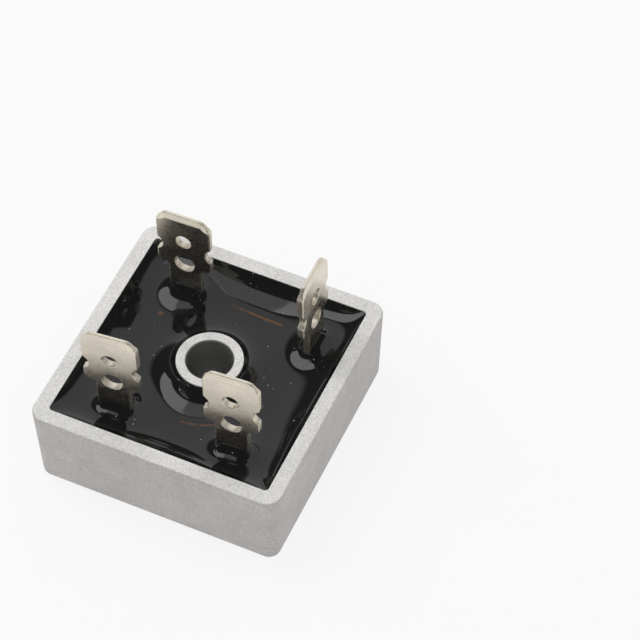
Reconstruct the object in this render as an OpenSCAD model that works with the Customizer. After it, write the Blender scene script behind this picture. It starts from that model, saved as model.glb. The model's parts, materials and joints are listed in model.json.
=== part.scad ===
// Single-phase bridge rectifier in a square metal case.
// A cast aluminium cup with a hub for one screw holds four diode dice between copper plates and
// copper straps. Four push-on blades stand up through a locating board, and resin fills the cup.
// Frame: origin at the centre of the base, +Z up along the hub, -Y to the front, millimetres.

/* [Case] */
// Width of the case across its base
case_w = 28; // [27.5:0.1:34]
// Height from the base to the rim
case_h = 11; // [10.5:0.1:14]
// How far each wall leans out between the base and the rim
case_lean = 0.4; // [0.1:0.05:0.8]
// Corner radius at the base, seen from above
case_corner_r = 1.3; // [1:0.1:3]
// Radius of the edge round the base
base_edge_r = 0.9; // [0.3:0.1:1.2]
// Radius of the outer edge round the rim
rim_edge_r = 0.25; // [0.1:0.05:0.5]
// Wall thickness at the rim
wall_t = 1.7; // [1.2:0.1:1.8]
// Thickness of the floor under the cavity
floor_t = 3; // [2:0.1:3.4]
// How far each cavity wall leans out between the floor and the rim
cavity_lean = 0.15; // [0.05:0.05:0.3]
// Corner radius of the cavity, seen from above
cavity_corner_r = 0.3; // [0.3:0.1:1.5]
// Fillet between the cavity's floor and its walls
cavity_floor_r = 0.25; // [0.1:0.05:0.25]

/* [Hub] */
// Clear bore for the mounting screw
bore_d = 5.05; // [4.2:0.05:5.6]
// Outside diameter of the hub at its top
hub_d = 7.25; // [6.9:0.05:8]
// How much wider the hub's radius is at the cavity's floor
hub_lean = 0.15; // [0.05:0.05:0.3]
// How far the hub stands above the rim
hub_rise = 0.1; // [0:0.05:0.4]
// Broken edge at both ends of the bore
bore_edge = 0.15; // [0.05:0.05:0.3]

/* [Resin] */
// Depth of the resin's flat surface below the rim
resin_drop = 1.9; // [1.6:0.1:2.4]
// How far the resin's climb starts from the cavity walls
wall_climb_w = 2.1; // [1.9:0.1:2.3]
// How far the resin's climb starts from the hub
hub_climb_w = 2.4; // [2:0.1:2.8]
// Where the climbs end, below the rim and below the hub's top
climb_gap = 0.15; // [0.1:0.05:0.4]
// How far the resin's climb starts from each blade
blade_climb_w = 1.1; // [0.9:0.1:1.2]
// Height of the resin's climb up each blade
blade_climb_h = 0.9; // [0.3:0.1:0.9]
// Thickness of the resin film at the top of each climb
film_t = 0.12; // [0.05:0.01:0.2]

/* [Blades] */
// Height of the blade tips above the base
blade_top = 22; // [21:0.1:26]
// Width of a blade
blade_w = 6.3; // [6.2:0.05:6.4]
// Thickness of the blade stock
blade_t = 0.8; // [0.7:0.05:0.9]
// Length of a blade from its shoulders to its tip
blade_len = 8; // [7.5:0.1:8.2]
// Width of the shank below the shoulders
shank_w = 3.75; // [3:0.05:4.2]
// Radius of the shoulders' outer corners
shoulder_r = 0.75; // [0.3:0.05:0.9]
// Radius between the shoulders and the shank
neck_r = 0.35; // [0.1:0.05:0.5]
// Sloped corner at the tip, across the blade
tip_corner_w = 0.95; // [0.6:0.05:1.5]
// Sloped corner at the tip, along the blade
tip_corner_h = 1.2; // [0.6:0.05:1.6]
// Length of the lead-in bevel at the tip
tip_bevel_h = 0.65; // [0.3:0.05:1]
// Depth of the lead-in bevel on each face
tip_bevel_t = 0.25; // [0.1:0.05:0.3]
// Width of the coined bevel along the sides and the sloped corners
side_bevel = 0.14; // [0.05:0.01:0.2]
// Small hole's diameter
small_hole_d = 1.75; // [1.4:0.05:2]
// Small hole's centre below the tip
small_hole_drop = 3.85; // [3.6:0.05:4.2]
// Large hole's diameter
large_hole_d = 2.35; // [2:0.05:2.6]
// Large hole's centre below the tip
large_hole_drop = 7.45; // [7:0.05:7.6]
// Radius of the latch notch in each side
notch_r = 1.05; // [0.8:0.05:1.3]
// Depth of the latch notch
notch_depth = 0.62; // [0.4:0.02:0.8]
// Notch's centre below the tip
notch_drop = 5.1; // [4.8:0.05:5.4]
// Length of the soldered foot, out from the shank's face
foot_len = 2.3; // [1.6:0.1:2.4]
// Inside radius of the bend above the foot
bend_r = 0.5; // [0.3:0.1:0.8]

/* [Blade positions] */
// Spacing of the two parallel columns of blades, left to right
column_pitch = 13.7; // [13.3:0.1:15]
// Spacing of the two parallel rows of blades, front to back
row_pitch = 17.1; // [16.8:0.1:17.6]
// Positive blade's distance to the right of the hub
positive_x = 8.8; // [8.4:0.1:9]
// Positive blade's distance behind the hub
positive_y = 7.35; // [7:0.1:7.8]
// Twist of the blades as assembled: back left, front left, front right, positive
twist = [1.8, 5.8, 3.3, -0.1];
// Tilt of the blades above the board towards their front face, in the same order
tilt = [-0.4, 1, -1.4, -0.5];

/* [Stack] */
// Thickness of the ceramic plate that insulates the stack from the case
ceramic_t = 0.63; // [0.38:0.01:1]
// Corner radius of the ceramic plate
ceramic_corner_r = 1; // [0.5:0.1:2]
// Gap between the ceramic plate and the cavity walls
ceramic_gap = 0.55; // [0.5:0.05:1]
// Thickness of the copper plates
plate_t = 0.8; // [0.5:0.1:1]
// Corner radius of the copper plates
plate_corner_r = 0.8; // [0.3:0.1:1.5]
// Border of bare ceramic round the copper plates
plate_border = 0.35; // [0.2:0.05:0.6]
// Gap between the positive and the negative plate
plate_gap = 0.9; // [0.6:0.1:1.2]
// Gap between the hub and the pieces round it
hub_gap = 0.7; // [0.4:0.1:1]
// Width of a diode die
die_w = 4.4; // [3.6:0.1:4.6]
// Thickness of a diode die
die_t = 0.3; // [0.2:0.05:0.4]
// Width of the mesa's sloping border on each side of a die
mesa_border = 0.3; // [0.1:0.05:0.4]
// Corner radius of the mesa
mesa_corner_r = 0.3; // [0.1:0.1:0.6]
// Distance of the dice from the gap between the plates
die_gap = 0.3; // [0.2:0.05:0.6]
// Thickness of each solder layer
solder_t = 0.12; // [0.08:0.01:0.2]
// How far the solder under a die stays inside the die's contact
solder_inset = 0.1; // [0:0.05:0.2]
// Border of solder round each foot
solder_border = 0.25; // [0.1:0.05:0.3]
// Thickness of the AC straps
strap_t = 0.6; // [0.4:0.1:0.8]
// Width of the AC straps
strap_w = 4.2; // [4:0.1:4.6]
// Corner radius of the AC straps
strap_corner_r = 0.6; // [0.2:0.1:1]
// How far a strap runs past its last pad
strap_end = 0.5; // [0.3:0.1:1]
// Diameter of the pads pressed down from a strap onto its dice
pad_d = 2.8; // [2:0.1:3.2]
// Height of the pressed pads
pad_h = 0.3; // [0.1:0.1:0.4]
// Border of solder round each pad
pad_solder_border = 0.15; // [0:0.05:0.2]
// Wall round the dimple that is pressed in above each pad
dimple_wall = 0.3; // [0.2:0.1:0.5]
// Least gap between a die and the solder under the positive foot
foot_gap = 0.05; // [0.05:0.05:0.3]

/* [Locating board] */
// Thickness of the board
board_t = 0.8; // [0.6:0.1:1]
// Depth of the board's top below the resin's flat surface
board_drop = 0.2; // [0.15:0.05:0.3]
// Corner radius of the board
board_corner_r = 1.5; // [0.5:0.1:3]
// Gap between the board and the cavity walls
board_gap = 0.9; // [0.7:0.1:1.5]
// Diameter of the opening round the hub
board_hole_d = 14.8; // [12:0.1:15]
// Width of the filling notches in the board's edges
fill_notch_w = 7.6; // [6:0.1:8]
// Web left between the opening and a filling notch
board_web = 1.1; // [0.8:0.1:1.4]
// Clearance at each end of a slot
slot_gap = 0.1; // [0.05:0.05:0.2]

/* [Hidden] */
$fn = 64;
eps = 0.01; // how far a cutter passes the face that it opens
over = 1; // how far a shape that trims another reaches past it
sink = 0.2; // how far a climb's section reaches into the resin below it

case_half = case_w / 2;
rim_half = case_half + case_lean;
cavity_h = case_h - floor_t;
cavity_half = rim_half - wall_t - cavity_lean; // at the floor
cavity_rim_half = rim_half - wall_t;
hub_r = hub_d / 2;
hub_top = case_h + hub_rise;
bore_r = bore_d / 2;
resin_z = case_h - resin_drop;
wall_climb_h = resin_drop - climb_gap;
hub_climb_h = wall_climb_h + hub_rise;
hub_clear_r = hub_r + hub_lean + hub_gap;

ceramic_z = floor_t;
ceramic_half = cavity_half - ceramic_gap;
plate_z = ceramic_z + ceramic_t;
plate_half = ceramic_half - plate_border;
plate_top = plate_z + plate_t;
die_z = plate_top + solder_t;
mesa_w = die_w - 2 * mesa_border;
mesa_h = die_t / 2;
pad_z = die_z + die_t + solder_t;
strap_z = pad_z + pad_h;
strap_top = strap_z + strap_t;

left_x = -column_pitch / 2;
back_y = row_pitch / 2;
die_x = max(column_pitch / 2, hub_clear_r + die_w / 2);
die_y = plate_gap / 2 + die_gap + die_w / 2;
positive_foot_y = die_y + die_w / 2 + foot_gap + solder_border + shank_w / 2;
strap_foot_y = back_y + blade_t / 2 + foot_len + solder_border;
strap_die_y = -die_y - pad_d / 2 - strap_end;

board_top = resin_z - board_drop;
board_half = cavity_half - board_gap;
fill_notch_y = board_hole_d / 2 + board_web;

shoulder_z = blade_top - blade_len;

// Where each blade stands: [x, y, turn about the vertical, tilt, height of its foot, turn of its foot]
AC_LEFT = [left_x, back_y, twist[0], tilt[0], strap_top + solder_t, 180];
NEGATIVE = [left_x, -back_y, twist[1], tilt[1], plate_top + solder_t, 0];
AC_RIGHT = [-left_x, -back_y, twist[2], tilt[2], strap_top + solder_t, 0];
POSITIVE = [positive_x, max(positive_y, positive_foot_y), twist[3] + 90, tilt[3], plate_top + solder_t, 0];
BLADES = [AC_LEFT, NEGATIVE, AC_RIGHT, POSITIVE];

// ---- shared shapes ----

// Half-section of a leaning wall, from the axis out to r at the base: both outer edges are round
module wall_section(r, h, lean, low_r, high_r) {
    slope = atan(lean / h);
    out = [cos(slope), -sin(slope)];
    low = [r + low_r * tan(slope) - low_r / cos(slope), low_r];
    high = [r + (h - high_r) * tan(slope) - high_r / cos(slope), h - high_r];
    intersection() {
        square([r + lean + over, h]);
        union() {
            polygon([[0, 0], [low.x, 0], low + low_r * out, high + high_r * out, [high.x, h], [0, h]]);
            translate(low) circle(low_r);
            if (high_r > 0) translate(high) circle(high_r);
        }
    }
}

// Square block with leaning walls and round corners: two crossing prisms and a revolve at each corner
module leaning_block(half, corner_r, h, lean, low_r, high_r) {
    inset = half - corner_r;
    for (turn = [0, 90]) rotate(turn) rotate([90, 0, 0]) linear_extrude(2 * inset, center = true) {
        for (side = [0, 1]) mirror([side, 0]) translate([inset, 0])
            wall_section(corner_r, h, lean, low_r, high_r);
        translate([-inset - eps, 0]) square([2 * inset + 2 * eps, h]);
    }
    for (x = [-inset, inset], y = [-inset, inset]) translate([x, y]) rotate_extrude()
        wall_section(corner_r, h, lean, low_r, high_r);
}

// Rectangle with round corners
module soft_rectangle(w, d, r) {
    square([w - 2 * r, d], center = true);
    square([w, d - 2 * r], center = true);
    for (x = [-1, 1], y = [-1, 1]) translate([x * (w / 2 - r), y * (d / 2 - r)]) circle(r);
}

// Hollow of the cup, up to a height above the base
module cavity(top) {
    h = top - floor_t;
    translate([0, 0, floor_t])
        leaning_block(cavity_half, cavity_corner_r, h, cavity_lean * h / cavity_h, cavity_floor_r, 0);
}

// Hub without its bore, standing on the cavity's floor
module hub_body(extra = 0) {
    translate([0, 0, floor_t])
        cylinder(r1 = hub_r + hub_lean + extra, r2 = hub_r + extra, h = hub_top - floor_t);
}

// ---- case ----

module case() {
    color("lightgray") difference() {
        union() {
            difference() {
                leaning_block(case_half, case_corner_r, case_h, case_lean, base_edge_r, rim_edge_r);
                cavity(case_h + over);
            }
            hub_body();
        }
        translate([0, 0, -eps]) cylinder(r = bore_r, h = hub_top + 2 * eps);
        translate([0, 0, -eps]) cylinder(r1 = bore_r + bore_edge + eps, r2 = bore_r, h = bore_edge + eps);
        translate([0, 0, hub_top - bore_edge])
            cylinder(r1 = bore_r, r2 = bore_r + bore_edge + eps, h = bore_edge + eps);
    }
}

// ---- stack on the cavity's floor ----

// Everything outside the hub's clear circle
module around_hub(z, t) {
    difference() {
        translate([0, 0, z]) linear_extrude(t) children();
        translate([0, 0, z - eps]) cylinder(r = hub_clear_r, h = t + 2 * eps);
    }
}

module insulator() {
    color("white") around_hub(ceramic_z, ceramic_t)
        soft_rectangle(2 * ceramic_half, 2 * ceramic_half, ceramic_corner_r);
}

// Copper plate that covers the back half of the ceramic
module half_plate() {
    depth = plate_half - plate_gap / 2;
    around_hub(plate_z, plate_t) translate([0, plate_gap / 2 + depth / 2])
        soft_rectangle(2 * plate_half, depth, plate_corner_r);
}

module positive_plate() {
    color("peru") half_plate();
}

module negative_plate() {
    color("peru") rotate(180) half_plate();
}

// Silicon die with its mesa upwards: a square chip with a raised, narrower contact
module die() {
    base_h = die_t - mesa_h;
    translate([0, 0, base_h / 2]) cube([die_w, die_w, base_h], center = true);
    translate([0, 0, base_h]) linear_extrude(mesa_h) soft_rectangle(mesa_w, mesa_w, mesa_corner_r);
}

// On the positive plate the cathode is down, on the negative plate the anode
module diode(x, y, anode_up) {
    color("dimgray") translate([x, y, die_z + die_t / 2])
        mirror([0, 0, anode_up ? 0 : 1]) translate([0, 0, -die_t / 2]) die();
}

module diode_back_left() { diode(-die_x, die_y, true); }
module diode_back_right() { diode(die_x, die_y, true); }
module diode_front_left() { diode(-die_x, -die_y, false); }
module diode_front_right() { diode(die_x, -die_y, false); }

// Solder layers under and over the dice
module die_solder() {
    color("silver") for (x = [-die_x, die_x], y = [-die_y, die_y]) translate([x, y]) {
        under_w = (y > 0 ? die_w : mesa_w) - 2 * solder_inset;
        translate([0, 0, plate_top + solder_t / 2]) cube([under_w, under_w, solder_t], center = true);
        translate([0, 0, pad_z - solder_t]) cylinder(d = pad_d + 2 * pad_solder_border, h = solder_t);
    }
}

// Strap that joins two dice to one AC blade: a flat bar with a pad pressed down onto each die
module strap() {
    length = strap_foot_y - strap_die_y;
    difference() {
        union() {
            translate([left_x, strap_die_y + length / 2, strap_z]) linear_extrude(strap_t)
                soft_rectangle(strap_w, length, strap_corner_r);
            for (y = [-die_y, die_y]) translate([-die_x, y, pad_z]) cylinder(d = pad_d, h = pad_h + eps);
        }
        for (y = [-die_y, die_y]) translate([-die_x, y, strap_top - pad_h])
            cylinder(d = pad_d - 2 * dimple_wall, h = over);
    }
}

module ac_strap_left() {
    color("peru") strap();
}

module ac_strap_right() {
    color("peru") rotate(180) strap();
}

// ---- blades ----

// Flat outline of a blade and its shank, across and up, down to a height
module blade_outline(low) {
    half = blade_w / 2;
    difference() {
        union() {
            difference() {
                polygon([
                    [-half, shoulder_z + shoulder_r], [-half, blade_top - tip_corner_h],
                    [-half + tip_corner_w, blade_top], [half - tip_corner_w, blade_top],
                    [half, blade_top - tip_corner_h], [half, shoulder_z + shoulder_r]
                ]);
                for (side = [-1, 1])
                    translate([side * (half + notch_r - notch_depth), blade_top - notch_drop])
                        circle(notch_r);
            }
            translate([-half + shoulder_r, shoulder_z]) square([blade_w - 2 * shoulder_r, 2 * shoulder_r]);
            for (side = [-1, 1]) translate([side * (half - shoulder_r), shoulder_z + shoulder_r])
                circle(shoulder_r);
            translate([-shank_w / 2, low]) square([shank_w, shoulder_z + eps - low]);
            for (side = [-1, 1]) translate([side * shank_w / 2, shoulder_z]) difference() {
                square([2 * neck_r, 2 * neck_r], center = true);
                translate([side * neck_r, -neck_r]) circle(neck_r);
            }
        }
        translate([0, blade_top - small_hole_drop]) circle(d = small_hole_d);
        translate([0, blade_top - large_hole_drop]) circle(d = large_hole_d);
    }
}

// Side view of the flat stock, bevelled at the tip, with across the thickness and up
module tip_section(low) {
    half = blade_t / 2;
    polygon([
        [-half, low], [half, low], [half, blade_top - tip_bevel_h], [half - tip_bevel_t, blade_top],
        [-half + tip_bevel_t, blade_top], [-half, blade_top - tip_bevel_h]
    ]);
}

// Long bar with both faces bevelled along its edges: it trims the blade's sides
module bevelled_bar(w, length) {
    half = w / 2;
    thick = blade_t / 2;
    linear_extrude(length) polygon([
        [-half, -thick + side_bevel], [-half + side_bevel, -thick], [half - side_bevel, -thick],
        [half, -thick + side_bevel], [half, thick - side_bevel], [half - side_bevel, thick],
        [-half + side_bevel, thick], [-half, thick - side_bevel]
    ]);
}

// Bar whose bevelled edge lies along the sloped corner on one side of the tip
module corner_bar(side) {
    turn = atan(tip_corner_w / tip_corner_h);
    middle = [blade_w / 2 - tip_corner_w / 2, blade_top - tip_corner_h / 2];
    translate([side * middle.x, 0, middle.y]) rotate([0, -side * turn, 0])
        translate([-side * blade_w, 0, -blade_top]) bevelled_bar(2 * blade_w, 2 * blade_top);
}

// Straight part of a blade above the board, before it is tilted
module upper_blade(low) {
    intersection() {
        rotate([90, 0, 0]) linear_extrude(blade_t, center = true) blade_outline(low);
        rotate([90, 0, 90]) linear_extrude(blade_w + over, center = true) tip_section(low);
        translate([0, 0, low]) bevelled_bar(blade_w, blade_top);
        corner_bar(-1);
        corner_bar(1);
    }
}

// Upright part of the shank down to its bend, and the foot that turns out to the front
module foot(foot_z) {
    corner_z = foot_z + blade_t + bend_r;
    half = blade_t / 2;
    rotate([90, 0, 90]) linear_extrude(shank_w, center = true) {
        translate([-half, corner_z]) square([blade_t, board_top - corner_z]);
        translate([-half - foot_len, foot_z]) square([foot_len - bend_r, blade_t]);
        translate([-half - bend_r, corner_z]) intersection() {
            difference() {
                circle(bend_r + blade_t);
                circle(bend_r);
            }
            translate([0, -2 * blade_t - bend_r]) square([2 * blade_t + bend_r, 2 * blade_t + bend_r]);
        }
    }
}

// One blade in its own frame: the shank's centre line is vertical up to the board
module blade(place) {
    foot_z = place[4];
    rotate(place[5]) foot(foot_z);
    translate([0, 0, board_top]) rotate([place[3], 0, 0]) translate([0, 0, -board_top])
        upper_blade(board_top);
}

module set_blade(place) {
    translate([place[0], place[1], 0]) rotate(place[2]) children();
}

module terminal(place) {
    color("antiquewhite") set_blade(place) blade(place);
}

module terminal_ac_left() { terminal(AC_LEFT); }
module terminal_negative() { terminal(NEGATIVE); }
module terminal_ac_right() { terminal(AC_RIGHT); }
module terminal_positive() { terminal(POSITIVE); }

// Solder under each foot
module foot_solder() {
    length = foot_len - bend_r + 2 * solder_border;
    color("silver") for (place = BLADES) set_blade(place) rotate(place[5])
        translate([0, -blade_t / 2 - bend_r / 2 - foot_len / 2, place[4] - solder_t / 2])
            cube([shank_w + 2 * solder_border, length, solder_t], center = true);
}

// ---- locating board ----

module locating_board() {
    z = board_top - board_t;
    color("saddlebrown") difference() {
        translate([0, 0, z]) linear_extrude(board_t) difference() {
            soft_rectangle(2 * board_half, 2 * board_half, board_corner_r);
            circle(d = board_hole_d);
            for (turn = [0:90:270]) rotate(turn)
                translate([-fill_notch_w / 2, fill_notch_y]) square([fill_notch_w, board_half]);
        }
        for (place = BLADES) set_blade(place) translate([0, 0, z + board_t / 2])
            cube([shank_w + 2 * slot_gap, blade_t, board_t + 2 * eps], center = true);
    }
}

// ---- resin ----

// Radius of an arc that leaves the flat surface a width from a wall and meets the wall at a height
function climb_radius(w, h) = (w * w + h * h) / (2 * h);

// Concave fillet against a wall at x = 0, standing on the resin's flat surface
module climb_section(w, h) {
    r = climb_radius(w, h);
    difference() {
        translate([-eps, -sink]) square([film_t + w + eps, h + sink]);
        translate([film_t + w, r]) circle(r);
    }
}

// Air over the resin, seen along one axis: the resin climbs the walls on both sides of it
module air_prism(turn) {
    half = cavity_rim_half - film_t;
    rotate(turn) rotate([90, 0, 0]) linear_extrude(3 * half, center = true)
        translate([0, resin_z]) difference() {
            translate([-half, 0]) square([2 * half, wall_climb_h + over]);
            for (side = [0, 1]) mirror([side, 0]) translate([-half - film_t, 0])
                climb_section(wall_climb_w, wall_climb_h);
        }
}

// Air over the resin: the climbs of two walls meet in a mitre
module air() {
    intersection() {
        air_prism(0);
        air_prism(90);
    }
}

// Resin that climbs one blade's shank
module blade_climb() {
    for (face = [0, 180]) rotate(face) {
        translate([0, 0, resin_z]) rotate([90, 0, 90]) linear_extrude(shank_w, center = true)
            translate([blade_t / 2 - eps, 0]) climb_section(blade_climb_w, blade_climb_h);
        translate([shank_w / 2, 0, resin_z]) rotate(-90) rotate_extrude(angle = 180)
            translate([blade_t / 2 - eps, 0]) climb_section(blade_climb_w, blade_climb_h);
    }
}

module resin_outside() {
    difference() {
        cavity(resin_z + wall_climb_h);
        air();
    }
    translate([0, 0, resin_z]) rotate_extrude() translate([hub_r, 0])
        climb_section(hub_climb_w, hub_climb_h);
    for (place = BLADES) set_blade(place) blade_climb();
}

module potting_resin() {
    color([0.08, 0.08, 0.09]) difference() {
        resin_outside();
        hub_body();
        insulator();
        positive_plate();
        negative_plate();
        diode_back_left();
        diode_back_right();
        diode_front_left();
        diode_front_right();
        die_solder();
        ac_strap_left();
        ac_strap_right();
        foot_solder();
        for (place = BLADES) terminal(place);
        locating_board();
    }
}

case();
insulator();
positive_plate();
negative_plate();
diode_back_left();
diode_back_right();
diode_front_left();
diode_front_right();
die_solder();
ac_strap_left();
ac_strap_right();
foot_solder();
terminal_ac_left();
terminal_negative();
terminal_ac_right();
terminal_positive();
locating_board();
potting_resin();
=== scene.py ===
"""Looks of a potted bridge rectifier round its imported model: blasted case, stamped blades, glossy resin."""
import json

import bmesh
import bpy
import numpy as np
from bpy.props import FloatProperty, FloatVectorProperty, IntProperty, PointerProperty
from mathutils import Matrix, Vector
from mathutils.geometry import tessellate_polygon


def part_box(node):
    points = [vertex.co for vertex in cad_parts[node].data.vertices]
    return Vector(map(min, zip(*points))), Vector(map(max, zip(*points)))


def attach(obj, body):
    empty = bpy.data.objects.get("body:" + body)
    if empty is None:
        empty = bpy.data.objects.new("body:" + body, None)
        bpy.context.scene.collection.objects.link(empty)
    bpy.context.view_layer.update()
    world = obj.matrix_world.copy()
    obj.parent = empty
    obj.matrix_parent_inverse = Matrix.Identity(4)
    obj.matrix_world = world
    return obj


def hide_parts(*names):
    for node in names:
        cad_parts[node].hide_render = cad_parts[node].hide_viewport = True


bl_info = {
    "name": "Bridge rectifier",
    "version": (1, 0, 0),
    "blender": (4, 5, 0),
    "location": "View3D > Sidebar > Rectifier",
    "description": "Builds the surfaces, materials and studio of a potted bridge rectifier",
    "category": "Object",
}

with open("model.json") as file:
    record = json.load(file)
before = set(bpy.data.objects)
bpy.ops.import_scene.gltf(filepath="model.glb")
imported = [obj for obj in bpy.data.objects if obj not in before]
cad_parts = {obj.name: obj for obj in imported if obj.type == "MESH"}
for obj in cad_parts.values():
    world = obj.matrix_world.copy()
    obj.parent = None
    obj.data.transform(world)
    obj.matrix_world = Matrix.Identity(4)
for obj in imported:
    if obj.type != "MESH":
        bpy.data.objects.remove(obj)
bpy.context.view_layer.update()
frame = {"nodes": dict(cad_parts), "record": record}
NODES = frame["nodes"]
MOUNTS = {mount["name"]: mount for mount in frame["record"]["mounts"]}
MM = 0.001
BLADES = ("ac_left", "negative", "ac_right", "positive")
HOLE_PITCH = np.linalg.norm(
    np.array(MOUNTS["latch_hole_negative"]["pos_m"]) - np.array(MOUNTS["wire_hole_negative"]["pos_m"])
)

# Where the case's colour changes: the rim and hub tops, lighter as painted light on up-facing faces, the
# bore, darker inside as painted shade, and the marks under the base
RIM_TOP = 11 * MM
PAINTED_TOP_LIGHT = (RIM_TOP - 0.12 * MM, RIM_TOP - 0.02 * MM)
HUB_TOP = NODES["case"].bound_box[1][2]
BORE_END = (HUB_TOP - 0.07 * MM, HUB_TOP - 0.02 * MM)
BORE_EDGE = MOUNTS["screw_bore"]["dims"]["r_mm"] * MM + 0.15 * MM
BASE_SKIN = 0.05 * MM

# What the resin meets: the hub's side and the round corners between the cavity's walls
HUB_RADIUS = 3.64 * MM
WALL_CORNER = 0.3 * MM

# The floor's half width, and how far it lies under the base
FLOOR_HALF = 3.0
FLOOR_GAP = 0.02 * MM

# Finishes of the pieces inside the resin: colour, metallic share, roughness and the nodes that have it
INNER_FINISHES = {
    "ceramic": ((0.85, 0.84, 0.78), 0.0, 0.6, ("insulator",)),
    "copper": (
        (0.8, 0.42, 0.24), 1.0, 0.3, ("positive_plate", "negative_plate", "ac_strap_left", "ac_strap_right")
    ),
    "silicon": (
        (0.2, 0.2, 0.24), 0.8, 0.25,
        ("diode_back_left", "diode_back_right", "diode_front_left", "diode_front_right"),
    ),
    "solder": ((0.62, 0.62, 0.64), 1.0, 0.35, ("die_solder", "foot_solder")),
    "phenolic_board": ((0.32, 0.12, 0.035), 0.0, 0.55, ("locating_board",)),
}


# ---- settings ----


def length(name, description, default):
    """A size in metres, given in millimetres."""
    return FloatProperty(name=name, description=description, default=default * MM, unit="LENGTH", precision=5)


def lengths(name, description, default):
    """A point in metres, or sizes along X and Y, given in millimetres."""
    return FloatVectorProperty(
        name=name, description=description, default=[value * MM for value in default], size=len(default),
        unit="LENGTH", subtype="XYZ", precision=5,
    )


def angle(name, description, default):
    """An angle in radians, given in degrees."""
    return FloatProperty(name=name, description=description, default=np.radians(default), unit="ROTATION")


def share(name, description, default):
    """A number from 0 to 1."""
    return FloatProperty(name=name, description=description, default=default, subtype="FACTOR", min=0, max=1)


def brightness(name, description, default):
    """The strength of a light, with white at 1."""
    return FloatProperty(name=name, description=description, default=default, min=0)


def colour(name, description, default):
    """A linear colour without alpha."""
    return FloatVectorProperty(
        name=name, description=description, default=default, subtype="COLOR", size=3, min=0, max=1
    )


class CaseSettings(bpy.types.PropertyGroup):
    """Colours and grain of the case, and the marks under its base"""

    metal: colour("Aluminium", "Colour of the blasted aluminium", (0.60, 0.578, 0.565))
    # Painted light: this lighter colour on the rim and hub tops stands in for the light that falls on their
    # up-facing faces.
    rim: colour("Rim", "Colour of the faced rim and hub", (0.78, 0.77, 0.75))
    # Painted shade: the inside of the bore takes this dark colour, standing in for the shadow in the hole.
    bore: colour("Bore", "Colour of the bore's cast skin", (0.2, 0.2, 0.19))
    ink: colour("Ink", "Colour of the polarity marks", (0.03, 0.03, 0.035))
    roughness: share("Roughness", "Roughness of the blasted skin", 0.55)
    gloss: share("Metallic", "Metallic share of the blasted skin", 0.35)
    grain: length("Grain", "Size of the blasted grains", 0.17)
    mark: length("Mark", "Size of the polarity marks under the base", 3)
    stroke: length("Stroke", "Width of the marks' lines", 0.45)


class BladeSettings(bpy.types.PropertyGroup):
    """Finish, outline and section of the blades"""

    metal: colour("Nickel", "Colour of the nickel plating", (0.78, 0.72, 0.61))
    roughness: share("Roughness", "Roughness of the plating", 0.27)
    edge_roughness: share("Sheared edges", "Roughness of sheared edges", 0.46)
    thickness: length("Thickness", "Thickness of the blade stock", 0.8)
    width: length("Width", "Width of a blade", 6.3)
    shank: length("Shank", "Width of the shank", 3.75)
    tip: length("Tip", "Tip above the latch hole's centre", 3.85)
    shoulder: length("Shoulder", "Shoulders below the tip", 8)
    shoulder_round: length("Shoulder corner", "Radius of the shoulders' outer corners", 0.75)
    neck_round: length("Neck", "Radius between the shoulders and the shank", 0.35)
    corner_across: length("Corner across", "Sloped corner at the tip, across the blade", 0.95)
    corner_along: length("Corner along", "Sloped corner at the tip, along the blade", 1.2)
    corner_round: length("Corner round", "Radius that eases both ends of the sloped corner", 0.9)
    notch_radius: length("Notch radius", "Radius of the latch notch in each side", 1.05)
    notch_depth: length("Notch depth", "Depth of the latch notch", 0.62)
    notch_below: length("Notch place", "Notch's centre below the tip", 5.1)
    tip_bevel: length("Tip bevel", "Length of the coined bevel at the tip", 0.65)
    tip_bevel_depth: length("Tip bevel depth", "Depth of the bevel at the tip", 0.25)
    side_bevel: length("Side bevel", "Width of the coined bevel along the sides", 0.14)
    hole_bevel: length("Hole edge", "Rolled edge round each hole", 0.07)
    groove: length("Groove", "Depth of the sheared groove along the edge", 0.05)
    bend: length("Bend", "Inside radius of the bend above the foot", 0.5)
    foot: length("Foot", "Length of the foot out from the shank", 2.3)
    outline_step: length("Outline step", "Distance between the points of the outline", 0.08)


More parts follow.
